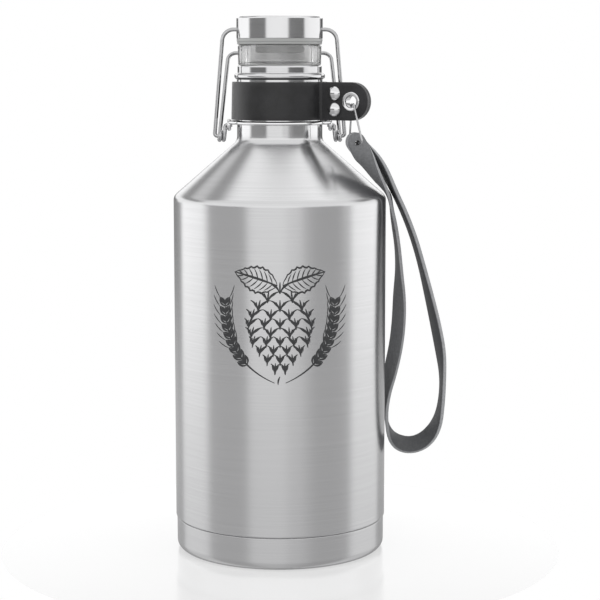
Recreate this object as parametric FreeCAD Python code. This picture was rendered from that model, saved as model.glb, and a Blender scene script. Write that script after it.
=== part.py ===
"""Swing-top growler: a double-wall steel bottle with a wire closure, a leather collar and a wrist strap.

Frame: origin at the centre of the base on the standing surface, +Z up, -Y is the front, +X is the
side that the strap hangs on.  Every size is in millimetres.
"""
import FreeCAD, Part
import math
import os
from FreeCAD import Vector

# ---------------------------------------------------------------- driving dimensions
BODY_R = 60.0              # outer wall
WALL = 0.8                 # sheet steel of the outer wall, the neck and the base cover
VACUUM_GAP = 3.0           # between the two walls
VESSEL_WALL = 0.7
SEAM_Z = 18.7              # line between the body and the base cover
SHOULDER_Z = 202.0         # where the straight side meets the shoulder cone
NECK_Z = 233.1             # where the shoulder cone meets the neck
NECK_R = 24.0
BEAD_R = 25.4
BEAD_Z = (267.4, 270.7)
LIP_R = 23.6
LIP_Z = 275.3
MOUTH_R = 21.3             # bore of the steel neck

ADAPTER_R = 23.2           # clear ring that stands on the lip
ADAPTER_BORE_R = 17.5
ADAPTER_TOP_Z = 286.4
ADAPTER_SKIRT_R = 20.9
ADAPTER_SKIRT_Z = 258.0
ORING_Z = (262.5, 269.0)
ORING_WIRE_R = 0.95

CAP_R = 24.1
CAP_Z = (290.0, 302.0)
CAP_WALL = 0.7
GASKET_Z = 286.55          # underside of the stopper's gasket
FLANGE_Z = 288.2
PLUG_BOTTOM_Z = 281.6

WIRE_R = 1.1               # closure wire, 2.2 mm
PIN_GAP = 0.08             # radial running clearance of a wire in its eye
PIVOT_Z = 241.8            # lever turns here, in the neck ring's eyelets
HOOK_Z = 235.6             # head wire is hooked into the lever here
CAP_PIN_Z = 294.9          # head wire passes through the cap here

COLLAR_MEAN_R = 25.9
COLLAR_Z = (244.9, 265.9)
LEATHER = 2.1
TAB_ANGLE = -30.0          # direction of the leather tab, about Z from +X
TAB_END_R = 56.6
RIVET_R = 36.3             # distance of the rivets from the bottle's axis
RIVET_SPACING = 8.7
EYELET_R = 46.4            # distance of the eyelet from the bottle's axis
LINK_WIRE_R = 0.55
LINK_DROP = 22.6           # height of the link below the eyelet
LINK_SWAY = 2.0            # the hanging strap pulls the link outward by this
STRAP_WIDTH = 10.6
STRAP_THICKNESS = 2.0

# centre line of the wrist strap, from one punched end round the hand loop to the other, and the
# direction across the strap at each of its points
STRAP_ROUTE = [
    ((39.3, -26.5, 237.6), (-7.6, -3.2, -5.7)),
    ((42.3, -25.2, 232.8), (-7.6, -3.2, -5.7)),
    ((45.2, -23.9, 227.4), (-8, 1, -4)),
    ((49.0, -21.2, 221.4), (-6, 7, -2)),
    ((53.3, -17.2, 214.2), (-4, 9, -1)),
    ((57.4, -12.6, 207.8), (-2, 10, 0)),
    ((61.9, -8.6, 201.8), (1, 10, 3)),
    ((63.4, -4.6, 194.0), (0, 10, 0)),
    ((65.0, -1.0, 185.0), (-1, 10, 0)),
    ((67.2, 2.6, 172.0), (-1, 10, 0)),
    ((68.4, 6.0, 158.0), (-2, 10, 0)),
    ((68.8, 9.0, 143.0), (-5, 8, 0)),
    ((68.7, 11.5, 128.0), (-6, 8, 0)),
    ((67.4, 13.5, 114.0), (-6, 8, 0)),
    ((64.4, 15.6, 99.0), (-6, 8, 0)),
    ((61.9, 17.0, 86.0), (-3, 9, 0)),
    ((61.6, 17.4, 73.0), (0, 10, 1)),
    ((63.4, 16.8, 62.0), (0, 9, 4)),
    ((69.5, 15.4, 55.5), (0, 7, 7)),
    ((77.5, 14.0, 54.6), (0, 6, 8)),
    ((85.5, 12.9, 58.6), (-1, 6, 8)),
    ((91.6, 11.8, 67.8), (-2, 8, 5)),
    ((93.9, 10.6, 81.0), (-1, 10, 1)),
    ((94.3, 9.0, 96.0), (-1, 10, 0)),
    ((92.6, 7.2, 112.0), (-4, 9, 0)),
    ((89.2, 5.0, 128.5), (-4, 9, 0)),
    ((85.2, 2.6, 145.0), (-3, 9, 0)),
    ((80.8, 0.0, 162.0), (-2, 10, 0)),
    ((75.8, -3.2, 178.5), (-2, 10, 0)),
    ((70.0, -7.0, 193.0), (-2, 10, 0)),
    ((63.8, -11.2, 205.6), (-2, 10, 0)),
    ((58.0, -15.6, 216.8), (-3, 9, -1)),
    ((51.8, -17.7, 223.4), (-6, 6, -3)),
    ((45.5, -20.4, 228.2), (-8, 1, -4)),
    ((41.5, -23.2, 232.8), (-7.6, -3.2, -5.7)),
    ((38.5, -24.5, 237.6), (-7.6, -3.2, -5.7)),
]
STRAP_SECTIONS = 72
STRAP_END_STEPS = (0.0005, 0.0018, 0.004, 0.0075, 0.011)   # shares of the route, for the round ends
STRAP_HOLE_R = 1.4

ORIGIN = Vector(0, 0, 0)
X_AXIS = Vector(1, 0, 0)
Y_AXIS = Vector(0, 1, 0)
Z_AXIS = Vector(0, 0, 1)


# ---------------------------------------------------------------- shape helpers
def rounded_edges(corners, closed):
    """Straight runs joined by tangent arcs.  Each corner is (point, radius)."""
    points = [Vector(*p) for p, _ in corners]
    radii = [r for _, r in corners]
    count = len(points)
    starts, ends, arcs = list(points), list(points), [None] * count
    for i in range(count):
        if radii[i] <= 0 or (not closed and i in (0, count - 1)):
            continue
        back = (points[i - 1] - points[i]).normalize()
        ahead = (points[(i + 1) % count] - points[i]).normalize()
        half = back.getAngle(ahead) / 2
        reach = radii[i] / math.tan(half)
        starts[i] = points[i] + back * reach
        ends[i] = points[i] + ahead * reach
        bisector = (back + ahead).normalize()
        nearest = points[i] + bisector * (radii[i] / math.sin(half) - radii[i])
        arcs[i] = Part.Arc(starts[i], nearest, ends[i]).toShape()
    edges = []
    for i in range(count):
        if arcs[i] is not None:
            edges.append(arcs[i])
        if i == count - 1 and not closed:
            break
        following = starts[(i + 1) % count]
        if (following - ends[i]).Length > 1e-6:
            edges.append(Part.LineSegment(ends[i], following).toShape())
    return edges


def turned(corners):
    """Solid of revolution about Z from (radius, height, corner radius) corners."""
    outline = [((c[0], 0, c[1]), c[2] if len(c) > 2 else 0) for c in corners]
    face = Part.Face(Part.Wire(rounded_edges(outline, closed=True)))
    return face.revolve(ORIGIN, Z_AXIS, 360)


def wire_rod(corners, radius):
    """Round wire bent along straight runs and tangent arcs."""
    edges = rounded_edges(corners, closed=False)
    path = Part.Wire(edges)
    first = edges[0]
    start = first.valueAt(first.FirstParameter)
    direction = first.tangentAt(first.FirstParameter)
    profile = Part.Wire(Part.makeCircle(radius, start, direction))
    return path.makePipeShell([profile], True, False)


def rod(start, end, radius):
    """Plain round rod from one point to another."""
    start, end = Vector(*start), Vector(*end)
    return Part.makeCylinder(radius, (end - start).Length, start, end - start)


def at_tab(shape):
    """Turn a shape made with its tab along +X to the tab's real direction."""
    turned_shape = shape.copy()
    turned_shape.rotate(ORIGIN, Z_AXIS, TAB_ANGLE)
    return turned_shape


def tab_point(across, outward, height):
    """Point given across the tab, outward along it and up, at the tab's real direction."""
    angle = math.radians(TAB_ANGLE)
    x = outward * math.cos(angle) - across * math.sin(angle)
    y = outward * math.sin(angle) + across * math.cos(angle)
    return (x, y, height)


def export(name, shape):
    shape.exportStep("parts/" + name + ".step")


# ---------------------------------------------------------------- bottle
def outer_shell():
    inner_r = BODY_R - WALL
    skirt_r = BODY_R - 1.6
    neck_inner = NECK_R - WALL
    bead_low, bead_high = BEAD_Z
    return turned([
        (skirt_r, 11.5), (skirt_r, SEAM_Z, 0.3), (BODY_R, SEAM_Z, 0.8),
        (BODY_R, SHOULDER_Z, 5.0), (NECK_R, NECK_Z, 3.0),
        (NECK_R, bead_low, 0.3), (BEAD_R, bead_low, 1.4), (BEAD_R, bead_high, 1.4),
        (LIP_R, bead_high, 0.3), (LIP_R, LIP_Z, 1.2), (MOUTH_R + VESSEL_WALL, LIP_Z),
        (MOUTH_R + VESSEL_WALL, LIP_Z - 0.9), (LIP_R - WALL, LIP_Z - 0.9),
        (LIP_R - WALL, bead_high - 0.8), (BEAD_R - 0.8, bead_high - 0.8, 0.5),
        (BEAD_R - 0.8, bead_low + 0.8, 0.5), (neck_inner, bead_low + 0.8),
        (neck_inner, NECK_Z - 0.1, 3.5), (inner_r, SHOULDER_Z - 0.35, 4.4),
        (inner_r, SEAM_Z + WALL), (skirt_r - WALL, SEAM_Z + WALL), (skirt_r - WALL, 11.5)])


def inner_vessel():
    outer_r = BODY_R - WALL - VACUUM_GAP
    inner_r = outer_r - VESSEL_WALL
    neck_outer = MOUTH_R + VESSEL_WALL
    floor_z = SEAM_Z + 1.3
    return turned([
        (0, floor_z), (outer_r, floor_z, 14.0), (outer_r, SHOULDER_Z - 1.9, 6.0),
        (neck_outer, NECK_Z - 3.8, 4.0), (neck_outer, LIP_Z), (MOUTH_R, LIP_Z),
        (MOUTH_R, NECK_Z - 4.2, 4.5), (inner_r, SHOULDER_Z - 2.3, 5.4),
        (inner_r, floor_z + VESSEL_WALL, 13.3), (0, floor_z + VESSEL_WALL)])


def outer_bottom():
    rim_r = BODY_R - 1.6 - WALL
    return turned([
        (1.0, 11.2), (5.0, 11.2, 1.0), (6.4, 13.2, 0.8), (rim_r - 0.8, 13.2, 0.4),
        (rim_r - 0.8, 11.6), (rim_r, 11.6), (rim_r, 14.0, 1.0), (5.8, 14.0, 1.0),
        (4.5, 12.0, 0.6), (1.0, 12.0)])


def vacuum_seal():
    return turned([(0, 9.7), (2.2, 9.7, 0.9), (3.4, 11.2), (1.0, 11.2), (1.0, 12.4), (0, 12.4)])


def getter():
    cup = Part.makeCylinder(6.0, 1.8, Vector(22, 0, 14.0))
    pellet_recess = Part.makeCylinder(4.8, 0.8, Vector(22, 0, 15.0))
    return cup.cut(pellet_recess)


def base_cover():
    outer_r = BODY_R - 0.6
    top_z = SEAM_Z - 0.4
    groove = (36.0, 46.0)
    return turned([
        (0, 0), (groove[0], 0), (groove[0] + 1.2, 0.9, 0.5), (groove[1] - 1.2, 0.9, 0.5),
        (groove[1], 0), (outer_r, 0, 4.5), (outer_r, top_z), (outer_r - WALL, top_z),
        (outer_r - WALL, WALL, 3.7), (groove[1] + 0.4, WALL), (groove[1] - 1.0, 1.7, 0.5),
        (groove[0] + 1.0, 1.7, 0.5), (groove[0] - 0.4, WALL), (0, WALL)])


# ---------------------------------------------------------------- mouth and stopper
def pour_adapter():
    seat_z = LIP_Z + 0.4
    groove_depth = 1.65
    corners = [
        (ADAPTER_BORE_R, ADAPTER_SKIRT_Z), (ADAPTER_SKIRT_R, ADAPTER_SKIRT_Z, 0.8)]
    for z in ORING_Z:
        for r, side in ((0, -1), (groove_depth, -1), (groove_depth, 1), (0, 1)):
            corners.append((ADAPTER_SKIRT_R - r, z + side * 1.1))
    corners += [
        (ADAPTER_SKIRT_R, seat_z), (ADAPTER_R, seat_z, 0.4), (ADAPTER_R, ADAPTER_TOP_Z, 1.0),
        (ADAPTER_BORE_R + 0.6, ADAPTER_TOP_Z, 0.5), (ADAPTER_BORE_R, ADAPTER_TOP_Z - 2.4)]
    return turned(corners)


def adapter_seal():
    return turned([
        (ADAPTER_SKIRT_R + 0.3, LIP_Z), (ADAPTER_R - 0.1, LIP_Z),
        (ADAPTER_R - 0.1, LIP_Z + 0.4), (ADAPTER_SKIRT_R + 0.3, LIP_Z + 0.4)])


def adapter_orings():
    rings = []
    for z in ORING_Z:
        rings.append(Part.makeTorus(MOUTH_R - 0.05 - ORING_WIRE_R, ORING_WIRE_R, Vector(0, 0, z)))
    return Part.makeCompound(rings)


def cap_shell():
    low, high = CAP_Z
    shell = turned([
        (CAP_R - CAP_WALL, low), (CAP_R, low), (CAP_R, high, 1.2), (0, high),
        (0, high - CAP_WALL), (CAP_R - CAP_WALL, high - CAP_WALL, 0.6)])
    pin_holes = rod((-CAP_R - 1, 0, CAP_PIN_Z), (CAP_R + 1, 0, CAP_PIN_Z), WIRE_R + 0.4)
    return shell.cut(pin_holes)


def stopper_core():
    low, high = CAP_Z
    body_r = CAP_R - CAP_WALL - 0.1
    core = turned([
        (0, 291.5), (10.0, 291.5, 1.0), (10.5, PLUG_BOTTOM_Z), (13.6, PLUG_BOTTOM_Z, 0.8),
        (14.9, FLANGE_Z), (CAP_R - 0.1, FLANGE_Z), (CAP_R - 0.1, low, 0.3), (body_r, low),
        (body_r, high - CAP_WALL - 0.1, 0.9), (0, high - CAP_WALL - 0.1)])
    pin_bore = rod((-CAP_R, 0, CAP_PIN_Z), (CAP_R, 0, CAP_PIN_Z), WIRE_R + PIN_GAP)
    return core.cut(pin_bore)


def stopper_gasket():
    return turned([
        (15.0, GASKET_Z, 0.3), (CAP_R - 0.4, GASKET_Z, 0.6), (CAP_R - 0.4, FLANGE_Z, 0.3),
        (15.0, FLANGE_Z)])


# ---------------------------------------------------------------- wire closure
EYE_R = 2 * WIRE_R + PIN_GAP      # mean radius of an eye wound round a wire
LEVER_OUTER_X = 34.2              # first turn of the lever's side coil
COIL_STEP = 0.58                  # sideways shift of the coil at each quarter turn
STUB_X = LEVER_OUTER_X - 6 * COIL_STEP
STUB_END_X = 26.7
HEAD_HOOK_X = LEVER_OUTER_X + 2 * WIRE_R + 0.25
THUMB_BAR = (29.4, 27.5, 282.0)   # corner of the lever's thumb bar


def neck_ring():
    mean_r = NECK_R + WIRE_R + 0.15
    ring_z = 243.2
    ring = Part.makeTorus(mean_r, WIRE_R, Vector(0, 0, ring_z))
    eyelet_x = 28.45
    arm_angle = math.radians(17)
    for side in (-1, 1):
        centre = Vector(side * eyelet_x, 0, PIVOT_Z)
        ring = ring.fuse(Part.makeTorus(EYE_R, WIRE_R, centre, X_AXIS))
        for front in (-1, 1):
            start = (side * mean_r * math.cos(arm_angle), front * mean_r * math.sin(arm_angle), ring_z)
            end = (side * eyelet_x, front * EYE_R * 0.8, PIVOT_Z + EYE_R * 0.6)
            ring = ring.fuse(rod(start, end, WIRE_R * 0.98))
    return ring


def lever_side(side):
    """Corners of the lever from its thumb bar down to the stub that turns in the neck ring."""
    coil = [(1, -1), (-1, -1), (-1, 1), (1, 1), (1, -1), (-1, -1)]
    corners = [((side * THUMB_BAR[0], THUMB_BAR[1], THUMB_BAR[2]), 5.0)]
    for step, (rear, up) in enumerate(coil):
        x = side * (LEVER_OUTER_X - step * COIL_STEP)
        corners.append(((x, rear * EYE_R, HOOK_Z + up * EYE_R), EYE_R - 0.02))
    corners.append(((side * STUB_X, -EYE_R, HOOK_Z + 3.2), 2.0))
    corners.append(((side * STUB_X, 0, PIVOT_Z), 1.5))
    corners.append(((side * STUB_END_X, 0, PIVOT_Z), 0))
    return corners


def lever_wire():
    corners = list(reversed(lever_side(-1))) + lever_side(1)
    return wire_rod(corners, WIRE_R)


def head_wire():
    hook_end_x = 30.2
    shoulder_x = 31.6
    side = [((shoulder_x, 0, CAP_PIN_Z), 6.5), ((HEAD_HOOK_X, 0, HOOK_Z), 1.5), ((hook_end_x, 0, HOOK_Z), 0)]
    mirrored = [((-p[0], p[1], p[2]), r) for p, r in reversed(side)]
    return wire_rod(mirrored + side, WIRE_R)


# ---------------------------------------------------------------- leather collar
TAB_HALF_GAP = 0.05
TAB_FACE = TAB_HALF_GAP + LEATHER      # from the middle of the tab to its outer face
TAB_MID_Z = (COLLAR_Z[0] + COLLAR_Z[1]) / 2


def collar_band():
    """One leather strip round the neck whose two ends lie face to face as a tab."""
    bend_r = 3.0
    height = COLLAR_Z[1] - COLLAR_Z[0]
    leg_y = TAB_HALF_GAP + LEATHER / 2
    bend_y = leg_y + bend_r
    bend_x = math.sqrt((COLLAR_MEAN_R + bend_r) ** 2 - bend_y ** 2)
    ring_angle = math.atan2(bend_y, bend_x)
    touch = Vector(COLLAR_MEAN_R * math.cos(ring_angle), COLLAR_MEAN_R * math.sin(ring_angle), 0)
    middle_angle = (ring_angle + math.pi + 1.5 * math.pi) / 2
    bend_middle = Vector(bend_x + bend_r * math.cos(middle_angle), bend_y + bend_r * math.sin(middle_angle), 0)

    def flipped(v):
        return Vector(v.x, -v.y, v.z)

    tip = Vector(TAB_END_R, leg_y, 0)
    root = Vector(bend_x, leg_y, 0)
    path = Part.Wire([
        Part.LineSegment(tip, root).toShape(),
        Part.Arc(root, bend_middle, touch).toShape(),
        Part.Arc(touch, Vector(-COLLAR_MEAN_R, 0, 0), flipped(touch)).toShape(),
        Part.Arc(flipped(touch), flipped(bend_middle), flipped(root)).toShape(),
        Part.LineSegment(flipped(root), flipped(tip)).toShape()])
    half = LEATHER / 2
    section = Part.makePolygon([
        tip + Vector(0, -half, 0), tip + Vector(0, half, 0), tip + Vector(0, half, height),
        tip + Vector(0, -half, height), tip + Vector(0, -half, 0)])
    band = path.makePipeShell([section], True, False)
    band.translate(Vector(0, 0, COLLAR_Z[0]))
    end_x = TAB_END_R - height / 2
    block = Part.makeBox(height, 8, height + 2, Vector(end_x, -4, COLLAR_Z[0] - 1))
    rounding = Part.makeCylinder(height / 2, 8, Vector(end_x, -4, TAB_MID_Z), Y_AXIS)
    band = band.cut(block.cut(rounding))
    for x, z, r in tab_holes():
        band = band.cut(Part.makeCylinder(r, 8, Vector(x, -4, z), Y_AXIS))
    return at_tab(band)


def tab_holes():
    """Centre and radius of each hole through the tab, before it is turned into place."""
    half = RIVET_SPACING / 2
    return [(RIVET_R, TAB_MID_Z + half, 1.5), (RIVET_R, TAB_MID_Z - half, 1.5), (EYELET_R, TAB_MID_Z, 3.9)]


def tab_turning(x, z, corners):
    """Turned piece on an axis through the tab; heights in corners run towards the tab's front."""
    piece = turned(corners)
    piece.rotate(ORIGIN, X_AXIS, 90)
    piece.translate(Vector(x, 0, z))
    return at_tab(piece)


def rivets(build):
    half = RIVET_SPACING / 2
    return Part.makeCompound([build(RIVET_R, TAB_MID_Z + side * half) for side in (1, -1)])


def rivet_cap(x, z):
    return tab_turning(x, z, [
        (0, TAB_FACE), (3.9, TAB_FACE, 0.4), (3.9, TAB_FACE + 0.9, 0.8), (2.9, TAB_FACE + 2.1, 2.0),
        (0, TAB_FACE + 2.7)])


def rivet_post(x, z):
    return tab_turning(x, z, [
        (0, -TAB_FACE - 1.0), (3.6, -TAB_FACE - 0.8, 0.3), (3.6, -TAB_FACE), (1.45, -TAB_FACE),
        (1.45, TAB_FACE), (0, TAB_FACE)])


def eyelet():
    return tab_turning(EYELET_R, TAB_MID_Z, [
        (3.2, -TAB_FACE - 0.7), (3.8, -TAB_FACE - 0.7), (3.8, TAB_FACE), (5.4, TAB_FACE, 0.1),
        (5.4, TAB_FACE + 0.4, 0.3), (3.6, TAB_FACE + 0.7, 0.5), (3.2, TAB_FACE + 0.1)])


def eyelet_washer():
    return tab_turning(EYELET_R, TAB_MID_Z, [
        (3.85, -TAB_FACE), (5.2, -TAB_FACE), (5.2, -TAB_FACE - 0.6, 0.4), (3.85, -TAB_FACE - 0.8)])


# ---------------------------------------------------------------- link and wrist strap
def link_corners(side):
    """Upper and lower corner of the link's leg in front of the tab (side -1) or behind it (side 1)."""
    upper = tab_point(side * 3.8, EYELET_R - side * 2.5, TAB_MID_Z - 1.4)
    lower = tab_point(side * 5.2, EYELET_R + LINK_SWAY - side * 6.8, TAB_MID_Z - LINK_DROP)
    return upper, lower


def link_base():
    """Middle and direction, front to back, of the link's straight base."""
    front, back = Vector(*link_corners(-1)[1]), Vector(*link_corners(1)[1])
    return (front + back) / 2, (back - front).normalize()


def strap_link():
    """Wire triangle through the eyelet; its base carries both ends of the strap."""
    front_upper, front_lower = link_corners(-1)
    back_upper, back_lower = link_corners(1)
    middle, direction = link_base()
    half_joint = direction * 0.05
    first, last = tuple(middle + half_joint), tuple(middle - half_joint)
    corners = [
        (first, 0), (back_lower, 1.6), (back_upper, 1.0), (front_upper, 1.0), (front_lower, 1.6), (last, 0)]
    return wire_rod(corners, LINK_WIRE_R).fuse(rod(last, first, LINK_WIRE_R))


def clamped_curve(points):
    """Smooth quadratic curve that starts and ends on the first and last of its control points."""
    spans = len(points) - 2
    knots = [i / spans for i in range(spans + 1)]
    curve = Part.BSplineCurve()
    curve.buildFromPolesMultsKnots(points, [3] + [1] * (spans - 1) + [3], knots, False, 2)
    return curve


def strap_frame(route, across, t):
    """Centre, unit direction across and unit direction through the strap at t from 0 to 1."""
    centre = route.value(t)
    along = route.tangent(t)[0]
    wide = across.value(t)
    wide = (wide - along * wide.dot(along)).normalize()
    return centre, wide, along.cross(wide)


def wrist_strap():
    """Flat leather ribbon with round ends and a hole in each end for the link."""
    route = clamped_curve([Vector(*p) for p, _ in STRAP_ROUTE])
    across = clamped_curve([Vector(*w).normalize() for _, w in STRAP_ROUTE])
    length = route.length()
    print("strap length", round(length, 1))
    steps = [i / STRAP_SECTIONS for i in range(1, STRAP_SECTIONS)]
    steps += [t for t in STRAP_END_STEPS] + [1 - t for t in STRAP_END_STEPS]
    sections = []
    for t in sorted(steps):
        centre, wide, through = strap_frame(route, across, t)
        half = STRAP_WIDTH / 2
        from_end = min(route.length(0, t), route.length(t, 1))
        if from_end < half:
            half = math.sqrt(half ** 2 - (half - from_end) ** 2)
        wide = wide * half
        through = through * (STRAP_THICKNESS / 2)
        loop = [centre + wide + through, centre - wide + through, centre - wide - through, centre + wide - through]
        sections.append(Part.makePolygon(loop + [loop[0]]))
    strap = Part.makeLoft(sections, True, True)
    middle, direction = link_base()
    return strap.cut(Part.makeCylinder(STRAP_HOLE_R, 8, middle - direction * 4, direction))


def main():
    os.makedirs("parts", exist_ok=True)
    for build in (
            outer_shell, inner_vessel, outer_bottom, vacuum_seal, getter, base_cover,
            pour_adapter, adapter_seal, adapter_orings, cap_shell, stopper_core, stopper_gasket,
            neck_ring, lever_wire, head_wire, collar_band, eyelet, eyelet_washer,
            strap_link, wrist_strap):
        export(build.__name__, build())
    export("rivet_caps", rivets(rivet_cap))
    export("rivet_posts", rivets(rivet_post))


main()
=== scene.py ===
"""Swing-top growler: steel bottle, wire closure, leather collar and wrist strap, on a pale table."""
import math

import bpy
from mathutils import Matrix, Vector


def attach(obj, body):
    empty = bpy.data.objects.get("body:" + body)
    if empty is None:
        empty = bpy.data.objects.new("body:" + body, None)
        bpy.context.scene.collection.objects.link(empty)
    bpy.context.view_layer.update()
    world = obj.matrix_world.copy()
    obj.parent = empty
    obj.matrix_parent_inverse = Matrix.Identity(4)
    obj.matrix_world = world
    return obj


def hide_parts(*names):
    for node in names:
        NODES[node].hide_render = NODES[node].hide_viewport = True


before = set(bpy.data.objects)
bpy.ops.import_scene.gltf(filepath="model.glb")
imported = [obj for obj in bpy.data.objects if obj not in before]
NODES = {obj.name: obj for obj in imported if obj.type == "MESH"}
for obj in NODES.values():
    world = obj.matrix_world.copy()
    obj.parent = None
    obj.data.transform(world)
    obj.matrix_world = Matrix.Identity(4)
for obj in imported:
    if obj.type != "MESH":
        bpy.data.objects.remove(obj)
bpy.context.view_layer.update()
MM = 0.001
SEGMENTS = 160             # round the bottle
HOLD = 0.25                # mm from an arc to the holding ring beside it

BODY_R = 60.0
SEAM_Z = 18.7
NECK_Z = 233.1
NECK_R = 24.0
LIP_Z = 275.3
TAB_ANGLE = -30.0          # direction of the leather tab, about Z from +X
TAB_END_R = 56.6
TAB_FACE = 2.15            # from the middle of the tab to its outer face
TAB_Z = 255.4
COLLAR_R = 25.9            # middle of the leather
COLLAR_H = 21.0
LEATHER = 2.1
RIVET_R = 36.3             # rivets and eyelet from the bottle's axis
RIVET_SPACING = 8.7
EYELET_R = 46.4
RIVET_HOLE_R = 1.5
EYELET_HOLE_R = 3.9

CAMERA_PLACE = (0, -1.0169, 0.2772)
CAMERA_PITCH = 7.555       # degrees down
CAMERA_YAW = -0.643
CAMERA_LENS = 107.93       # mm, on a 36 mm sensor
TABLE_RADIUS = 0.16


# ---------------------------------------------------------------- modelling helpers
def deselect():
    if bpy.context.object and bpy.context.object.mode != "OBJECT":
        bpy.ops.object.mode_set(mode="OBJECT")
    bpy.ops.object.select_all(action="DESELECT")


def pick(piece):
    """Make one object the only selected and active one."""
    deselect()
    piece.select_set(True)
    bpy.context.view_layer.objects.active = piece


def edit(piece):
    pick(piece)
    bpy.ops.object.mode_set(mode="EDIT")


def select_all():
    bpy.ops.mesh.select_all(action="SELECT")


def settle(piece, angle=35.0):
    """Put the object's origin at the frame's origin and smooth all but its sharp edges."""
    pick(piece)
    bpy.ops.object.transform_apply(location=True, rotation=True, scale=True)
    bpy.ops.object.shade_smooth_by_angle(angle=math.radians(angle))
    return piece


def modify(piece, kind, **settings):
    """Add one modifier and apply it."""
    pick(piece)
    modifier = piece.modifiers.new(kind.lower(), kind)
    for key, value in settings.items():
        setattr(modifier, key, value)
    bpy.ops.object.modifier_apply(modifier=modifier.name)


def rounded(corners, steps=6):
    """Outline in mm from (radius, height, corner radius) corners: arcs, each with a point held beside it."""
    points = []
    for i, corner in enumerate(corners):
        here = Vector(corner[:2])
        radius = corner[2] if len(corner) > 2 else 0
        if not radius or i in (0, len(corners) - 1):
            points.append(here)
            continue
        back = (Vector(corners[i - 1][:2]) - here).normalized()
        ahead = (Vector(corners[i + 1][:2]) - here).normalized()
        half = back.angle(ahead) / 2
        reach = radius / math.tan(half)
        centre = here + (back + ahead).normalized() * (radius / math.sin(half))
        first = here + back * reach - centre
        last = here + ahead * reach - centre
        hold = HOLD * min(radius, 1)
        points.append(centre + first + back * hold)
        for step in range(steps + 1):
            points.append(centre + first.slerp(last, step / steps).normalized() * radius)
        points.append(centre + last + ahead * hold)
    return points


def lathe(name, corners, segments=SEGMENTS):
    """Turn an outline round Z by extruding and resizing one ring; an open end joins back to the start."""
    outline = rounded(corners)
    last_r, last_z = outline[0]
    deselect()
    bpy.ops.mesh.primitive_circle_add(vertices=segments, radius=last_r * MM, location=(0, 0, last_z * MM))
    piece = bpy.context.object
    piece.name = name
    bpy.ops.object.transform_apply(location=True)
    bpy.ops.object.mode_set(mode="EDIT")
    select_all()
    closed_on_axis = False
    for r, z in outline[1:]:
        bpy.ops.mesh.extrude_region_move(TRANSFORM_OT_translate={"value": (0, 0, (z - last_z) * MM)})
        if r < 0.01:
            bpy.ops.mesh.merge(type="CENTER")
            closed_on_axis = True
            break
        grow = r / last_r
        bpy.ops.transform.resize(value=(grow, grow, 1), center_override=(0, 0, z * MM))
        last_r, last_z = r, z
    bpy.ops.mesh.select_all(action="DESELECT")
    bpy.ops.mesh.select_non_manifold()
    if closed_on_axis:
        bpy.ops.mesh.edge_face_add()
    else:
        bpy.ops.mesh.bridge_edge_loops()
    select_all()
    bpy.ops.mesh.normals_make_consistent(inside=False)
    bpy.ops.object.mode_set(mode="OBJECT")
    return settle(piece)


def at_tab(piece, outward, height):
    """Move a piece turned round Z on to the tab, its axis through the leather and its top to the front."""
    pick(piece)
    piece.rotation_euler = (math.radians(90), 0, math.radians(TAB_ANGLE))
    turn = Matrix.Rotation(math.radians(TAB_ANGLE), 3, "Z")
    piece.location = turn @ Vector((outward, 0, height)) * MM
    bpy.ops.object.transform_apply(location=True, rotation=True, scale=True)
    return piece


def join(name, pieces):
    deselect()
    for piece in pieces:
        piece.select_set(True)
    bpy.context.view_layer.objects.active = pieces[0]
    bpy.ops.object.join()
    bpy.context.object.name = name
    return bpy.context.object


# ---------------------------------------------------------------- material helpers
def colour(hex_value):
    """Linear colour from an sRGB hex value."""
    channels = [int(hex_value[i:i + 2], 16) / 255 for i in (1, 3, 5)]
    linear = [c / 12.92 if c <= 0.04045 else ((c + 0.055) / 1.055) ** 2.4 for c in channels]
    return (*linear, 1)


def add(tree, kind, settings=None, links=None):
    """Add a node with its settings (properties by name, inputs by label or number) and its links."""
    node = tree.nodes.new(kind)
    for key, value in (settings or {}).items():
        if isinstance(key, str) and hasattr(node, key):
            setattr(node, key, value)
        else:
            node.inputs[key].default_value = value
    for key, socket in (links or {}).items():
        tree.links.new(socket, node.inputs[key])
    return node


def new_material(name):
    material = bpy.data.materials.new(name)
    material.use_nodes = True
    tree = material.node_tree
    shader = tree.nodes["Principled BSDF"]
    return material, tree, shader


def stretched_noise(tree, scale, detail=3.0):
    """Noise on Object coordinates with its own scale along each axis, per metre."""
    place = add(tree, "ShaderNodeTexCoord")
    mapping = add(tree, "ShaderNodeMapping", {"Scale": scale}, {"Vector": place.outputs["Object"]})
    return add(tree, "ShaderNodeTexNoise", {"Scale": 1.0, "Detail": detail}, {"Vector": mapping.outputs[0]})


def ranged(tree, value, low, high):
    """Map a 0 to 1 value to a range."""
    node = add(tree, "ShaderNodeMapRange", {"To Min": low, "To Max": high}, {"Value": value})
    return node.outputs[0]


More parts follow.
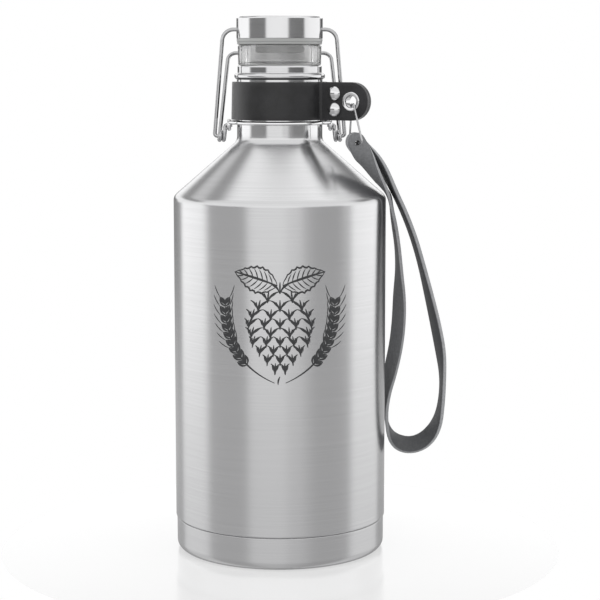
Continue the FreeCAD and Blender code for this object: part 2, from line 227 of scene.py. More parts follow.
# ---------------------------------------------------------------- materials
def brushed_stainless():
    """304 stainless sheet, brushed round the bottle in fine hair lines; the turned neck is left polished."""
    material, tree, shader = new_material("brushed_stainless_steel")
    lines = stretched_noise(tree, (14, 14, 2600))
    broad = stretched_noise(tree, (6, 6, 240))
    tone = add(tree, "ShaderNodeValToRGB", links={"Fac": lines.outputs[0]})
    tone.color_ramp.elements[0].position = 0.3
    tone.color_ramp.elements[0].color = colour("#c9c9ca")
    tone.color_ramp.elements[1].position = 0.7
    tone.color_ramp.elements[1].color = colour("#cfcfd0")
    tree.links.new(tone.outputs[0], shader.inputs["Base Color"])
    place = add(tree, "ShaderNodeTexCoord")
    split = add(tree, "ShaderNodeSeparateXYZ", links={0: place.outputs["Object"]})
    neck = add(tree, "ShaderNodeMapRange", {"From Min": (NECK_Z + 1) * MM, "From Max": (NECK_Z + 5) * MM},
               {"Value": split.outputs["Z"]})
    brushed = ranged(tree, broad.outputs[0], 0.235, 0.255)
    rough = add(tree, "ShaderNodeMix", {"B": 0.1}, {"Factor": neck.outputs[0], "A": brushed})
    tree.links.new(rough.outputs[0], shader.inputs["Roughness"])
    depth = ranged(tree, neck.outputs[0], 0.05, 0.01)
    bump = add(tree, "ShaderNodeBump", {"Distance": 0.00004}, {"Height": lines.outputs[0], "Strength": depth})
    tree.links.new(bump.outputs[0], shader.inputs["Normal"])
    shader.inputs["Metallic"].default_value = 1.0
    along = add(tree, "ShaderNodeTangent", {"direction_type": "RADIAL", "axis": "Z"})
    tree.links.new(along.outputs[0], shader.inputs["Tangent"])
    shader.inputs["Anisotropic"].default_value = 0.5
    shader.inputs["Anisotropic Rotation"].default_value = 0.25
    return material


def satin_stainless():
    """Turned and lightly polished stainless: clear reflections with a faint turning grain."""
    material, tree, shader = new_material("satin_stainless_steel")
    lines = stretched_noise(tree, (20, 20, 3200))
    tree.links.new(ranged(tree, lines.outputs[0], 0.10, 0.17), shader.inputs["Roughness"])
    bump = add(tree, "ShaderNodeBump", {"Strength": 0.05, "Distance": 0.00003}, {"Height": lines.outputs[0]})
    tree.links.new(bump.outputs[0], shader.inputs["Normal"])
    shader.inputs["Base Color"].default_value = colour("#d6d6d7")
    shader.inputs["Metallic"].default_value = 1.0
    return material


def drawn_wire(name, shade, smoothest, roughest):
    """Bright drawn stainless wire: smooth, with faint die marks."""
    material, tree, shader = new_material(name)
    marks = stretched_noise(tree, (500, 500, 500), 2.0)
    tree.links.new(ranged(tree, marks.outputs[0], smoothest, roughest), shader.inputs["Roughness"])
    shader.inputs["Base Color"].default_value = colour(shade)
    shader.inputs["Metallic"].default_value = 1.0
    return material


def polished_nickel():
    """Nickel-plated rivets and eyelet: mirror bright with a slight orange peel."""
    material, tree, shader = new_material("polished_nickel_plate")
    peel = stretched_noise(tree, (300, 300, 300), 1.0)
    bump = add(tree, "ShaderNodeBump", {"Strength": 0.1, "Distance": 0.0001}, {"Height": peel.outputs[0]})
    tree.links.new(bump.outputs[0], shader.inputs["Normal"])
    shader.inputs["Base Color"].default_value = colour("#d8d8d9")
    shader.inputs["Metallic"].default_value = 1.0
    shader.inputs["Roughness"].default_value = 0.08
    return material


def clear_copolyester():
    """Clear moulded copolyester (IOR 1.57): glossy, faintly hazy inside."""
    material, tree, shader = new_material("clear_moulded_copolyester")
    haze = stretched_noise(tree, (160, 160, 160), 2.0)
    tree.links.new(ranged(tree, haze.outputs[0], 0.04, 0.12), shader.inputs["Roughness"])
    shader.inputs["Base Color"].default_value = colour("#fafafa")
    shader.inputs["Transmission Weight"].default_value = 0.9
    shader.inputs["IOR"].default_value = 1.57
    return material


def translucent_silicone():
    """Translucent silicone and polypropylene: milky, soft, half clear."""
    material, tree, shader = new_material("translucent_silicone")
    cloud = stretched_noise(tree, (120, 120, 300), 2.0)
    tree.links.new(ranged(tree, cloud.outputs[0], 0.32, 0.45), shader.inputs["Roughness"])
    shader.inputs["Base Color"].default_value = colour("#cfd0cf")
    shader.inputs["Transmission Weight"].default_value = 0.35
    shader.inputs["IOR"].default_value = 1.42
    return material


def leather(name, dark, light, roughness, grain_mm):
    """Finished leather: pebbled grain, darker in its creases, with a slightly uneven sheen."""
    material, tree, shader = new_material(name)
    place = add(tree, "ShaderNodeTexCoord")
    grain = add(tree, "ShaderNodeTexVoronoi", {"feature": "SMOOTH_F1", "Scale": 1000 / grain_mm},
                {"Vector": place.outputs["Object"]})
    wear = stretched_noise(tree, (90, 90, 90), 4.0)
    tone = add(tree, "ShaderNodeValToRGB", links={"Fac": wear.outputs[0]})
    tone.color_ramp.elements[0].position = 0.35
    tone.color_ramp.elements[0].color = colour(dark)
    tone.color_ramp.elements[1].position = 0.68
    tone.color_ramp.elements[1].color = colour(light)
    tree.links.new(tone.outputs[0], shader.inputs["Base Color"])
    gloss = ranged(tree, wear.outputs[0], roughness - 0.06, roughness + 0.08)
    tree.links.new(gloss, shader.inputs["Roughness"])
    bump = add(tree, "ShaderNodeBump", {"Strength": 0.35, "Distance": 0.00012},
               {"Height": grain.outputs["Distance"]})
    tree.links.new(bump.outputs[0], shader.inputs["Normal"])
    shader.inputs["Specular IOR Level"].default_value = 0.4
    shader.inputs["Sheen Weight"].default_value = 0.5
    shader.inputs["Sheen Roughness"].default_value = 0.35
    return material


def strap_hide():
    """Dark grey strap leather: pebbled grain outside, napped flesh side inside, cut edges paler than the
    faces, partly a paler edge dye and partly painted highlight, with a painted shadow line along both edges
    of the grain side.
    """
    material, tree, shader = new_material("grey_strap_leather")
    place = add(tree, "ShaderNodeTexCoord")
    split = add(tree, "ShaderNodeSeparateXYZ", links={0: place.outputs["UV"]})
    round_it = add(tree, "ShaderNodeMath", {"operation": "DIVIDE", 1: 4.0}, {0: split.outputs["Y"]})
    side_tones_and_painted_edge_light = add(tree, "ShaderNodeValToRGB", links={"Fac": round_it.outputs[0]})
    # The pale cut-edge band is partly edge dye and partly painted highlight; the darker stops at 0.48 and
    # 0.78 are painted shadow lines where the cut edges meet the grain side.
    stops = [(0.0, "#505153"), (0.24, "#505153"), (0.27, "#6c6d70"), (0.31, "#a3a4a6"), (0.44, "#a3a4a6"),
             (0.48, "#66676a"), (0.52, "#7a7b7d"), (0.74, "#7a7b7d"), (0.78, "#66676a"), (0.81, "#a3a4a6"),
             (0.94, "#a3a4a6"), (0.99, "#6c6d70")]
    ramp = side_tones_and_painted_edge_light.color_ramp
    while len(ramp.elements) < len(stops):
        ramp.elements.new(0.5)
    for element, (position, shade) in zip(ramp.elements, stops):
        element.position = position
        element.color = colour(shade)
    wear = stretched_noise(tree, (900, 900, 900), 5.0)
    mottle = ranged(tree, wear.outputs[0], 0.65, 1.35)
    tone = add(tree, "ShaderNodeVectorMath", {"operation": "SCALE"}, {0: side_tones_and_painted_edge_light.outputs[0], "Scale": mottle})
    tree.links.new(tone.outputs[0], shader.inputs["Base Color"])
    grain = add(tree, "ShaderNodeTexVoronoi", {"feature": "SMOOTH_F1", "Scale": 1300.0},
                {"Vector": place.outputs["Object"]})
    bump = add(tree, "ShaderNodeBump", {"Strength": 0.5, "Distance": 0.00015},
               {"Height": grain.outputs["Distance"]})
    tree.links.new(bump.outputs[0], shader.inputs["Normal"])
    tree.links.new(ranged(tree, wear.outputs[0], 0.45, 0.62), shader.inputs["Roughness"])
    return material


def printed_ink():
    """Dark grey screen-printed ink: matt, a little thin in places."""
    material, tree, shader = new_material("screen_printed_ink")
    thin = stretched_noise(tree, (900, 900, 900), 2.0)
    tone = add(tree, "ShaderNodeValToRGB", links={"Fac": thin.outputs[0]})
    tone.color_ramp.elements[0].color = colour("#232425")
    tone.color_ramp.elements[1].color = colour("#38393b")
    tree.links.new(tone.outputs[0], shader.inputs["Base Color"])
    tree.links.new(ranged(tree, thin.outputs[0], 0.4, 0.6), shader.inputs["Roughness"])
    return material


STEEL = brushed_stainless()
SATIN = satin_stainless()
WIRE = drawn_wire("drawn_stainless_wire", "#b4b4b5", 0.12, 0.22)
RING_WIRE = drawn_wire("polished_stainless_wire", "#ebebec", 0.06, 0.12)
NICKEL = polished_nickel()
CLEAR = clear_copolyester()
SILICONE = translucent_silicone()
COLLAR_LEATHER = leather("black_finished_leather", "#1d1d1e", "#29292b", 0.36, 0.7)
STRAP_LEATHER = strap_hide()
INK = printed_ink()


def finish(piece, material, body=None, node=None):
    """Give a piece its one material and, if it's new, its body and the node that it stands for."""
    piece.data.materials.clear()
    piece.data.materials.append(material)
    if body:
        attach(piece, body)
    if node:
        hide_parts(*(node if isinstance(node, (list, tuple)) else [node]))
    return piece


# ---------------------------------------------------------------- camera and studio
def studio():
    bpy.ops.object.camera_add(location=CAMERA_PLACE)
    camera = bpy.context.object
    camera.name = "camera"
    camera.rotation_euler = (math.radians(90 - CAMERA_PITCH), 0, math.radians(CAMERA_YAW))
    camera.data.sensor_width = 36
    camera.data.lens = CAMERA_LENS
    bpy.context.scene.camera = camera
    bpy.context.scene.view_settings.view_transform = "Standard"


def table():
    """Small disc of pale glossy laminate under the bottle; only the camera sees it."""
    bpy.ops.mesh.primitive_circle_add(vertices=96, radius=TABLE_RADIUS, fill_type="NGON", location=(0, 0, 0))
    floor = bpy.context.object
    floor.name = "table"
    material, tree, shader = new_material("white_laminate_table")
    shade = stretched_noise(tree, (3, 3, 3))
    tree.links.new(ranged(tree, shade.outputs[0], 0.12, 0.15), shader.inputs["Roughness"])
    shader.inputs["Base Color"].default_value = colour("#8c8c8c")
    shader.inputs["Emission Color"].default_value = colour("#ffffff")
    shader.inputs["Emission Strength"].default_value = 0.5
    ray = add(tree, "ShaderNodeLightPath")
    clear = add(tree, "ShaderNodeBsdfTransparent")
    shown = add(tree, "ShaderNodeMixShader", links={0: ray.outputs["Is Camera Ray"], 1: clear.outputs[0],
                                                    2: shader.outputs[0]})
    out = next(n for n in tree.nodes if n.type == "OUTPUT_MATERIAL")
    tree.links.new(shown.outputs[0], out.inputs["Surface"])
    floor.data.materials.append(material)


def grey_ramp(tree, fac, stops):
    """Colour ramp of grey levels, from (position, level) stops."""
    node = add(tree, "ShaderNodeValToRGB", links={"Fac": fac})
    ramp = node.color_ramp
    while len(ramp.elements) < len(stops):
        ramp.elements.new(0.5)
    for element, (position, level) in zip(ramp.elements, stops):
        element.position = position
        element.color = (level, level, level, 1)
    return node.outputs[0]


def blended(tree, factor, first, second):
    """Mix of two colours, each a socket or a grey level."""
    node = add(tree, "ShaderNodeMix", {"data_type": "RGBA"}, {"Factor": factor})
    for label, value in (("A", first), ("B", second)):
        socket = next(i for i in node.inputs if i.name == label and i.type == "RGBA")
        if isinstance(value, float):
            socket.default_value = (value, value, value, 1)
        else:
            tree.links.new(value, socket)
    return next(o for o in node.outputs if o.type == "RGBA")


def step_between(tree, value, low, high):
    node = add(tree, "ShaderNodeMapRange", {"From Min": low, "From Max": high}, {"Value": value})
    return node.outputs[0]


def ring_stops(stops):
    """Ramp stops from (degrees from the front, level) pairs."""
    return [((degrees + 180) / 360, level) for degrees, level in stops]


def surroundings():
    """Studio all round: a card by the camera, tall soft boxes at the sides, dark behind, light above."""
    world = bpy.data.worlds.new("studio")
    bpy.context.scene.world = world
    world.use_nodes = True
    tree = world.node_tree
    background = tree.nodes["Background"]
    place = add(tree, "ShaderNodeTexCoord")
    split = add(tree, "ShaderNodeSeparateXYZ", links={0: place.outputs["Generated"]})
    height = split.outputs["Z"]
    front = add(tree, "ShaderNodeMath", {"operation": "MULTIPLY", 1: -1.0}, {0: split.outputs["Y"]})
    angle = add(tree, "ShaderNodeMath", {"operation": "ARCTAN2"},
                {0: split.outputs["X"], 1: front.outputs[0]})
    turn = step_between(tree, angle.outputs[0], -math.pi, math.pi)
    middle = grey_ramp(tree, turn, ring_stops([
        (-180, 0.3), (-136, 0.3), (-129, 1.65), (-88, 1.6), (-80, 0.5), (-38, 0.47), (-31, 1.12), (4, 1.12),
        (10, 0.85), (24, 0.8), (32, 0.6), (40, 0.42), (78, 0.42), (87, 1.6), (131, 1.6), (137, 0.18),
        (180, 0.18)]))
    top = grey_ramp(tree, turn, ring_stops([
        (-180, 0.12), (-150, 0.12), (-142, 1.3), (-92, 1.4), (-85, 0.2), (-40, 0.16), (-34, 1.15), (20, 1.2),
        (27, 0.15), (66, 0.15), (73, 1.2), (134, 1.3), (142, 0.14), (180, 0.12)]))
    low_share = add(tree, "ShaderNodeMath", {"operation": "MULTIPLY", 1: 0.66},
                    {0: step_between(tree, height, -0.11, -0.17)})
    low = blended(tree, low_share.outputs[0], middle, 0.78)
    shade = add(tree, "ShaderNodeMath", {"operation": "MULTIPLY", 1: 0.28},
                {0: step_between(tree, height, -0.21, -0.26)})
    low = blended(tree, shade.outputs[0], low, 0.0)
    level = blended(tree, step_between(tree, height, -0.035, -0.02), low, top)
    level = blended(tree, step_between(tree, height, 0.06, 0.09), level, 1.3)
    over_left = grey_ramp(tree, height, [
        (0, 0.6), (0.3, 0.6), (0.38, 0.35), (0.49, 0.35), (0.56, 0.88), (0.68, 0.82), (0.72, 0.38),
        (0.81, 0.38), (0.87, 1.28), (0.93, 1.5), (1, 1.55)])
    over_right = grey_ramp(tree, height, [
        (0, 0.3), (0.42, 0.25), (0.5, 0.3), (0.58, 0.55), (0.66, 0.9), (0.76, 1.2), (0.82, 1.05),
        (0.87, 1.6), (1, 1.55)])
    over = blended(tree, step_between(tree, split.outputs["X"], -0.1, 0.1), over_left, over_right)
    over = blended(tree, step_between(tree, split.outputs["Y"], 0.25, 0.05), over, 1.1)
    level = blended(tree, step_between(tree, height, 0.30, 0.34), level, over)
    ray = add(tree, "ShaderNodeLightPath")
    seen = blended(tree, ray.outputs["Is Camera Ray"], level, 1.0)
    tree.links.new(seen, background.inputs["Color"])


# ---------------------------------------------------------------- wrist strap
STRAP_WIDTH = 10.6
STRAP_THICKNESS = 2.0
LINK_BASE = (41.916, -24.2, 232.8)
LINK_DIRECTION = (-0.38421, 0.92325, 0)
STRAP_ROUTE = [
    ((39.3, -26.5, 237.6), (-7.6, -3.2, -5.7)),
    ((42.3, -25.2, 232.8), (-7.6, -3.2, -5.7)),
    ((45.2, -23.9, 227.4), (-8, 1, -4)),
    ((49.0, -21.2, 221.4), (-6, 7, -2)),
    ((53.3, -17.2, 214.2), (-4, 9, -1)),
    ((57.4, -12.6, 207.8), (-2, 10, 0)),
    ((61.9, -8.6, 201.8), (1, 10, 3)),
    ((63.4, -4.6, 194.0), (0, 10, 0)),
    ((65.0, -1.0, 185.0), (-1, 10, 0)),
    ((67.2, 2.6, 172.0), (-1, 10, 0)),
    ((68.4, 6.0, 158.0), (-2, 10, 0)),
    ((68.8, 9.0, 143.0), (-5, 8, 0)),
    ((68.7, 11.5, 128.0), (-6, 8, 0)),
    ((67.4, 13.5, 114.0), (-6, 8, 0)),
    ((64.4, 15.6, 99.0), (-6, 8, 0)),
    ((61.9, 17.0, 86.0), (-3, 9, 0)),
    ((61.6, 17.4, 73.0), (0, 10, 1)),
    ((63.4, 16.8, 62.0), (0, 9, 4)),
    ((69.5, 15.4, 55.5), (0, 7, 7)),
    ((77.5, 14.0, 54.6), (0, 6, 8)),
    ((85.5, 12.9, 58.6), (-1, 6, 8)),
    ((91.6, 11.8, 67.8), (-2, 8, 5)),
    ((93.9, 10.6, 81.0), (-1, 10, 1)),
    ((94.3, 9.0, 96.0), (-1, 10, 0)),
    ((92.6, 7.2, 112.0), (-4, 9, 0)),
    ((89.2, 5.0, 128.5), (-4, 9, 0)),
    ((85.2, 2.6, 145.0), (-3, 9, 0)),
    ((80.8, 0.0, 162.0), (-2, 10, 0)),
    ((75.8, -3.2, 178.5), (-2, 10, 0)),
    ((70.0, -7.0, 193.0), (-2, 10, 0)),
    ((63.8, -11.2, 205.6), (-2, 10, 0)),
    ((58.0, -15.6, 216.8), (-3, 9, -1)),
    ((51.8, -17.7, 223.4), (-6, 6, -3)),
    ((45.5, -20.4, 228.2), (-8, 1, -4)),
    ((41.5, -23.2, 232.8), (-7.6, -3.2, -5.7)),
    ((38.5, -24.5, 237.6), (-7.6, -3.2, -5.7)),
]


def smooth_line(name, points):
    """Points read from a smooth curve that the route's points steer."""
    data = bpy.data.curves.new(name, "CURVE")
    data.dimensions = "3D"
    data.resolution_u = 12
    spline = data.splines.new("NURBS")
    spline.points.add(len(points) - 1)
    for point, place in zip(spline.points, points):
        point.co = (*place, 1)
    spline.order_u = 3
    spline.use_endpoint_u = True
    curve = bpy.data.objects.new(name, data)
    bpy.context.scene.collection.objects.link(curve)
    line = [v.co.copy() for v in bpy.data.meshes.new_from_object(curve).vertices]
    bpy.data.objects.remove(curve)
    return line


def strap_section():
    """Half section of the leather as (across, through, place round it): flesh side, cut edge, grain side."""
    edge = STRAP_WIDTH / 2
    face = STRAP_THICKNESS / 2
    return [
        (-edge + 0.4, face, 0.0), (0, face + 0.04, 0.5), (edge - 0.4, face, 1.0),
        (edge - 0.1, face - 0.12, 1.12), (edge, face - 0.4, 1.25), (edge, -face + 0.4, 1.75),
        (edge - 0.1, -face + 0.12, 1.88), (edge - 0.4, -face, 2.0), (0, -face - 0.04, 2.5),
        (-edge + 0.4, -face, 3.0), (-edge + 0.1, -face + 0.12, 3.12), (-edge, -face + 0.4, 3.25),
        (-edge, face - 0.4, 3.75), (-edge + 0.1, face - 0.12, 3.88)]


def wrist_strap():
    """Flat leather ribbon, both punched ends on the link, its cut edges paler than its faces, partly a
    painted highlight, with painted shadow lines along the grain side's edges.
    """
    centre = smooth_line("strap_line", [Vector(point) * MM for point, _ in STRAP_ROUTE])
    across = smooth_line("strap_width", [Vector(width).normalized() for _, width in STRAP_ROUTE])
    reach = [0.0]
    for i in range(1, len(centre)):
        reach.append(reach[-1] + (centre[i] - centre[i - 1]).length)
    length = reach[-1]

    def frame_at(distance):
        i = max(j for j in range(len(reach) - 1) if reach[j] <= distance)
        t = (distance - reach[i]) / (reach[i + 1] - reach[i])
        before = centre[max(i - 1, 0)]
        after = centre[min(i + 2, len(centre) - 1)]
        along = (after - before).normalized()
        wide = across[i].lerp(across[i + 1], t)
        wide = (wide - along * wide.dot(along)).normalized()
        return centre[i].lerp(centre[i + 1], t), wide, along.cross(wide)

    half = STRAP_WIDTH / 2 * MM
    ends = [half * share for share in (0.004, 0.03, 0.09, 0.18, 0.31, 0.47, 0.65, 0.83, 1.0)]
    middle = [half + (length - 2 * half) * i / 260 for i in range(1, 260)]
    stations = ends + middle + [length - d for d in reversed(ends)]
    section = strap_section()
    verts, faces, marks = [], [], []
    for distance in stations:
        place, wide, through = frame_at(distance)
        from_end = min(distance, length - distance)
        narrow = 1.0
        if from_end < half:
            narrow = math.sqrt(1 - (1 - from_end / half) ** 2)
        for a, t, _ in section:
            verts.append(place + wide * (a * MM * narrow) + through * (t * MM))
    count = len(section)
    for i in range(len(stations) - 1):
        for j in range(count):
            k = (j + 1) % count
            faces.append((i * count + j, (i + 1) * count + j, (i + 1) * count + k, i * count + k))
            here, there = section[j][2], section[k][2] if k else 4.0
            marks.append([(stations[i], here), (stations[i + 1], here),
                          (stations[i + 1], there), (stations[i], there)])
    for first, step in ((0, 1), ((len(stations) - 1) * count, -1)):
        ring = [first + j for j in range(count)]
        faces.append(ring if step == 1 else ring[::-1])
        marks.append([(stations[0] if step == 1 else stations[-1], 1.5)] * count)
    mesh = bpy.data.meshes.new("wrist_strap_leather")
    mesh.from_pydata(verts, [], faces)
    chart = mesh.uv_layers.new(name="strap")
    corner = 0
    for face_marks in marks:
        for along_mark, round_mark in face_marks:
            chart.data[corner].uv = (along_mark, round_mark)
            corner += 1
    piece = bpy.data.objects.new("wrist_strap_leather", mesh)
    bpy.context.scene.collection.objects.link(piece)
    edit(piece)
    select_all()
    bpy.ops.mesh.normals_make_consistent(inside=False)
    bpy.ops.object.mode_set(mode="OBJECT")
    bpy.ops.mesh.primitive_cylinder_add(
        vertices=32, radius=1.4 * MM, depth=9 * MM, location=Vector(LINK_BASE) * MM,
        rotation=Vector(LINK_DIRECTION).to_track_quat("Z", "Y").to_euler())
    punch = bpy.context.object
    modify(piece, "BOOLEAN", object=punch, operation="DIFFERENCE", solver="EXACT")
    bpy.data.objects.remove(punch)
    settle(piece, 40)
    return piece


# ---------------------------------------------------------------- bottle
def outer_shell():
    return lathe("bottle_shell", [
        (58.4, 11.5), (58.4, SEAM_Z, 0.3), (BODY_R, SEAM_Z, 0.8), (BODY_R, 202, 5),
        (NECK_R, NECK_Z, 5), (NECK_R, 267.4, 0.3), (25.4, 267.4, 1.4), (25.4, 270.7, 1.4),
        (23.6, 270.7, 0.3), (23.6, LIP_Z, 1.2), (22, LIP_Z), (22, 274.4), (22.8, 274.4),
        (22.8, 269.9), (24.6, 269.9, 0.5), (24.6, 268.2, 0.5), (23.2, 268.2), (23.2, 233, 5.5),
        (59.2, 201.65, 4.4), (59.2, 19.5), (57.6, 19.5), (57.6, 11.5)])


def base_cup():
    return lathe("base_cup", [
        (36, 0), (37.2, 0.9, 0.5), (44.8, 0.9, 0.5), (46, 0), (59.4, 0, 4.5), (59.4, 18.3, 0.3),
        (58.6, 18.3), (58.6, 0.8, 3.7), (46.4, 0.8), (45, 1.7, 0.5), (37, 1.7, 0.5), (35.6, 0.8), (0, 0.8)])


def pour_ring():
    return lathe("clear_pour_ring", [
        (17.5, 258), (20.9, 258, 0.8), (20.9, 261.4), (19.25, 261.4), (19.25, 263.6), (20.9, 263.6),
        (20.9, 267.9), (19.25, 267.9), (19.25, 270.1), (20.9, 270.1), (20.9, 275.7), (23.2, 275.7, 0.4),
        (23.4, 286.4, 1.0), (18.1, 286.4, 0.5), (17.5, 284)], 128)


def gasket():
    return lathe("stopper_gasket_ring", [
        (15, 286.55), (23.7, 286.55, 0.6), (23.8, 288.2, 0.3), (15, 288.2)], 128)


# ---------------------------------------------------------------- leather collar
def collar():
    """One strip of leather round the neck; its ends lie face to face as a rounded tab."""
    bend_r = 3.0
    leg_y = 0.05 + LEATHER / 2
    bend_x = math.sqrt((COLLAR_R + bend_r) ** 2 - (leg_y + bend_r) ** 2)
    ring_angle = math.atan2(leg_y + bend_r, bend_x)
    half_line = []
    for i in range(15):
        half_line.append((TAB_END_R + (bend_x - TAB_END_R) * i / 14, leg_y))
    for i in range(1, 9):
        angle = -math.pi / 2 - (math.pi / 2 - ring_angle) * i / 8
        half_line.append((bend_x + bend_r * math.cos(angle), leg_y + bend_r + bend_r * math.sin(angle)))
    turns = 64
    for i in range(1, turns + 1):
        angle = ring_angle + (math.pi - ring_angle) * i / turns
        half_line.append((COLLAR_R * math.cos(angle), COLLAR_R * math.sin(angle)))
    line = half_line + [(x, -y) for x, y in half_line[-2::-1]]
    mesh = bpy.data.meshes.new("leather_collar")
    rows = 9
    verts = []
    for row in range(rows):
        up = row / (rows - 1) - 0.5
        for x, y in line:
            ring_share = max(0.0, min(1.0, (COLLAR_R + 1 - x) / 6))
            grow = 1 - 0.5 * up * ring_share / COLLAR_R
            verts.append(Vector((x * grow, y * grow, TAB_Z + up * COLLAR_H)) * MM)
    count = len(line)
    faces = [(r * count + i, r * count + i + 1, (r + 1) * count + i + 1, (r + 1) * count + i)
             for r in range(rows - 1) for i in range(count - 1)]
    mesh.from_pydata(verts, [], faces)
    piece = bpy.data.objects.new("leather_collar", mesh)
    bpy.context.scene.collection.objects.link(piece)
    modify(piece, "SOLIDIFY", thickness=LEATHER * MM, offset=0, use_even_offset=True)

    end_x = TAB_END_R - COLLAR_H / 2
    cutters = []
    bpy.ops.mesh.primitive_cube_add(size=1, location=Vector((end_x + 11, 0, TAB_Z)) * MM,
                                    scale=(22 * MM, 9 * MM, 30 * MM))
    block = bpy.context.object
    bpy.ops.mesh.primitive_cylinder_add(vertices=96, radius=COLLAR_H / 2 * MM, depth=12 * MM,
                                        location=Vector((end_x, 0, TAB_Z)) * MM,
                                        rotation=(math.radians(90), 0, 0))
    rounding = bpy.context.object
    modify(block, "BOOLEAN", object=rounding, operation="DIFFERENCE", solver="EXACT")
    cutters.append(block)
    rivet_up = RIVET_SPACING / 2
    for x, z, r in ((RIVET_R, rivet_up, RIVET_HOLE_R), (RIVET_R, -rivet_up, RIVET_HOLE_R),
                    (EYELET_R, 0, EYELET_HOLE_R)):
        bpy.ops.mesh.primitive_cylinder_add(vertices=32, radius=r * MM, depth=9 * MM,
                                            location=Vector((x, 0, TAB_Z + z)) * MM,
                                            rotation=(math.radians(90), 0, 0))
        cutters.append(bpy.context.object)
    for cutter in cutters:
        modify(piece, "BOOLEAN", object=cutter, operation="DIFFERENCE", solver="EXACT")
        bpy.data.objects.remove(cutter)
    bpy.data.objects.remove(rounding)
    modify(piece, "BEVEL", width=0.3 * MM, segments=3, limit_method="ANGLE", angle_limit=math.radians(50))
    pick(piece)
    piece.rotation_euler = (0, 0, math.radians(TAB_ANGLE))
    return settle(piece, 40)


def rivets():
    domes = []
    for side in (1, -1):
        arc = [math.radians(9 * i) for i in range(11)]
        dome = lathe("rivet_dome", [(3.5, 0), (3.9, 0.1)] + [
            (3.95 * math.cos(t), 0.8 + 2.3 * math.sin(t)) for t in arc], 48)
        for v in dome.data.vertices:
            v.co.z += TAB_FACE * MM
        domes.append(at_tab(dome, RIVET_R, TAB_Z + side * RIVET_SPACING / 2))
    return join("domed_rivets", domes)


def eyelet():
    ring = lathe("rolled_eyelet", [
        (3.2, -2.85), (3.8, -2.85), (3.8, 2.15), (5.3, 2.15, 0.1), (5.3, 2.65, 0.24), (4.9, 3.15, 0.5),
        (3.6, 3.0, 0.6), (3.2, 2.2, 0.5)], 64)
    return at_tab(ring, EYELET_R, TAB_Z)


# ---------------------------------------------------------------- printed emblem
EMBLEM_Z = 138.0
INK_PROUD = 0.05
STROKE_HALF = 0.68         # half a stroke, as a share of its stated width


def bowed(start, end, bow, steps=8):
    """Points from start to end, bowed sideways by a share of the length."""
    start, end = Vector(start), Vector(end)
    side = Vector((-(end - start).y, (end - start).x)) * bow
    return [start.lerp(end, i / steps) + side * 4 * (i / steps) * (1 - i / steps) for i in range(steps + 1)]


def leaf_lines(root, tip, spread):
    """Outline, midrib and veins of a toothed leaf."""
    root, tip = Vector(root), Vector(tip)
    along = tip - root
    side = Vector((-along.y, along.x)).normalized()
    lines = [(bowed(root, tip, 0.02), 1.0)]
    for sign in (1, -1):
        edge = []
        for i in range(25):
            t = i / 24
            swell = math.sin(math.pi * t ** 0.8) * spread + (0.9 if i % 3 == 1 else 0) * math.sin(math.pi * t)
            edge.append(root + along * t + side * sign * swell)
        lines.append((edge, 0.8))
        for i in range(1, 8):
            t = i / 9
            out = math.sin(math.pi * (t + 0.12) ** 0.8) * spread * 0.85
            vein_tip = root + along * (t + 0.14) + side * sign * out
            lines.append((bowed(root + along * t, vein_tip, 0.06 * sign), 0.5))
    return lines


def cone_lines():
    """Overlapping pointed scales of a hop cone, with short engraved strokes on each."""
    widths = [7, 12, 16, 18.5, 19.5, 19, 17, 13.5, 9.5, 5]
    counts = [1, 2, 3, 4, 5, 4, 5, 4, 3, 2]
    lines = []
    for row, (half, count) in enumerate(zip(widths, counts)):
        tip_y = 15.5 - 4.9 * row
        pitch = 2 * half / count
        for i in range(count):
            x = -half + pitch * (i + 0.5)
            lean = 0.12 * x
            for sign in (1, -1):
                strokes = (
                    (pitch / 2, 6.2, 0, 0, -0.16 * sign, 0.85),
                    (pitch * 0.2, 5.4, 0.6, 1.9, 0, 0.55),
                    (pitch * 0.36, 5.6, 1.1, 2.6, 0, 0.5))
                for out, top, inward, bottom, bow, width in strokes:
                    start = (x + sign * out, tip_y + top)
                    end = (x + sign * inward + lean, tip_y + bottom)
                    lines.append((bowed(start, end, bow), width))
            lines.append((bowed((x, tip_y + 6.5), (x + lean, tip_y + 1.2), 0), 0.7))
    lines.append((bowed((-1, -34), (0, -29.5), 0.1), 0.7))
    return lines


def ear_lines():
    """A barley ear that curves up beside the cone: stem, grains and awns."""
    stem = bowed((3, -33), (31, 8), -0.16, 24)
    lines = [(stem, 0.8)]
    for i in range(8, 25, 2):
        here, ahead = stem[i], (stem[i] - stem[i - 1]).normalized()
        side = Vector((-ahead.y, ahead.x))
        for sign in (1, -1):
            grain_tip = here + ahead * 4.8 + side * sign * 3.0
            lines.append((bowed(here, grain_tip, 0.22), 0.8))
            lines.append((bowed(here, grain_tip, -0.22), 0.8))
            lines.append((bowed(here + ahead, grain_tip - ahead * 0.6, 0), 1.0))
            if i > 10:
                awn_tip = grain_tip + ahead * 6.5 + side * sign * 3.2
                lines.append((bowed(grain_tip, awn_tip, 0.05 * sign), 0.4))
    return lines


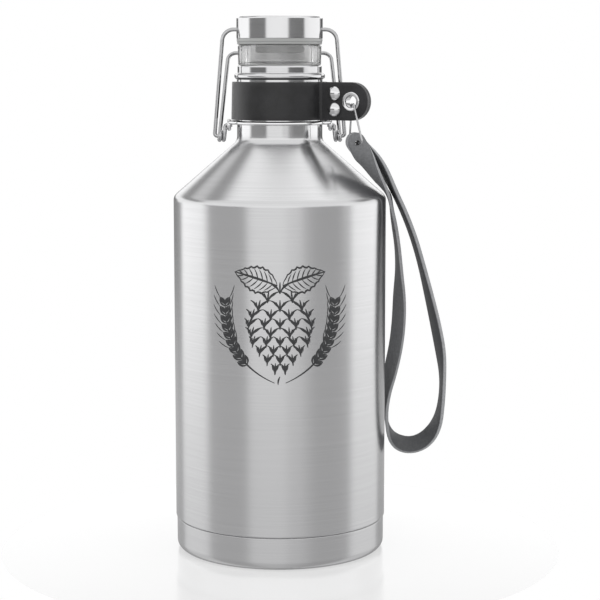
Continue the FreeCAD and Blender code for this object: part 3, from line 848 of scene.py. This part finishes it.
def emblem():
    """Generic engraving of a hop cone, two leaves and two barley ears, laid on the bottle's round wall."""
    lines = cone_lines()
    half = ear_lines() + leaf_lines((1.5, 20), (25, 27), 6.5)
    lines += half + [([Vector((-p.x, p.y)) for p in points], width) for points, width in half]
    verts, faces = [], []
    for points, width in lines:
        for i, point in enumerate(points):
            ahead = (points[min(i + 1, len(points) - 1)] - points[max(i - 1, 0)]).normalized()
            swell = 0.35 + 0.65 * math.sin(math.pi * i / (len(points) - 1))
            side = Vector((-ahead.y, ahead.x)) * width * STROKE_HALF * swell
            for edge in (point + side, point - side):
                turn = edge.x / BODY_R
                reach = BODY_R + INK_PROUD
                place = Vector((reach * math.sin(turn), -reach * math.cos(turn), EMBLEM_Z + edge.y))
                verts.append(place * MM)
            if i:
                k = len(verts)
                faces.append((k - 4, k - 3, k - 1, k - 2))
    mesh = bpy.data.meshes.new("printed_emblem")
    mesh.from_pydata(verts, [], faces)
    piece = bpy.data.objects.new("printed_emblem", mesh)
    bpy.context.scene.collection.objects.link(piece)
    for face in mesh.polygons:
        if face.normal.y > 0:
            face.flip()
    return settle(piece, 60)


# ---------------------------------------------------------------- assembly
studio()
strap = wrist_strap()
finish(strap, STRAP_LEATHER, "strap", "wrist_strap")
table()
surroundings()

finish(outer_shell(), STEEL, "bottle", "outer_shell")
finish(base_cup(), STEEL, "bottle", "base_cover")
finish(emblem(), INK, "bottle")
finish(pour_ring(), CLEAR, "bottle", "pour_adapter")
finish(gasket(), SILICONE, "stopper", "stopper_gasket")
finish(collar(), COLLAR_LEATHER, "collar", "collar_band")
finish(rivets(), NICKEL, "collar", "rivet_caps")
finish(eyelet(), NICKEL, "collar", "eyelet")

for node, material in (
        ("inner_vessel", SATIN), ("outer_bottom", SATIN), ("vacuum_seal", SATIN), ("getter", SATIN),
        ("adapter_seal", SILICONE), ("adapter_orings", SILICONE), ("cap_shell", SATIN),
        ("stopper_core", SILICONE), ("neck_ring", RING_WIRE), ("lever_wire", WIRE), ("head_wire", WIRE),
        ("rivet_posts", NICKEL), ("eyelet_washer", NICKEL), ("strap_link", WIRE)):
    finish(NODES[node], material)
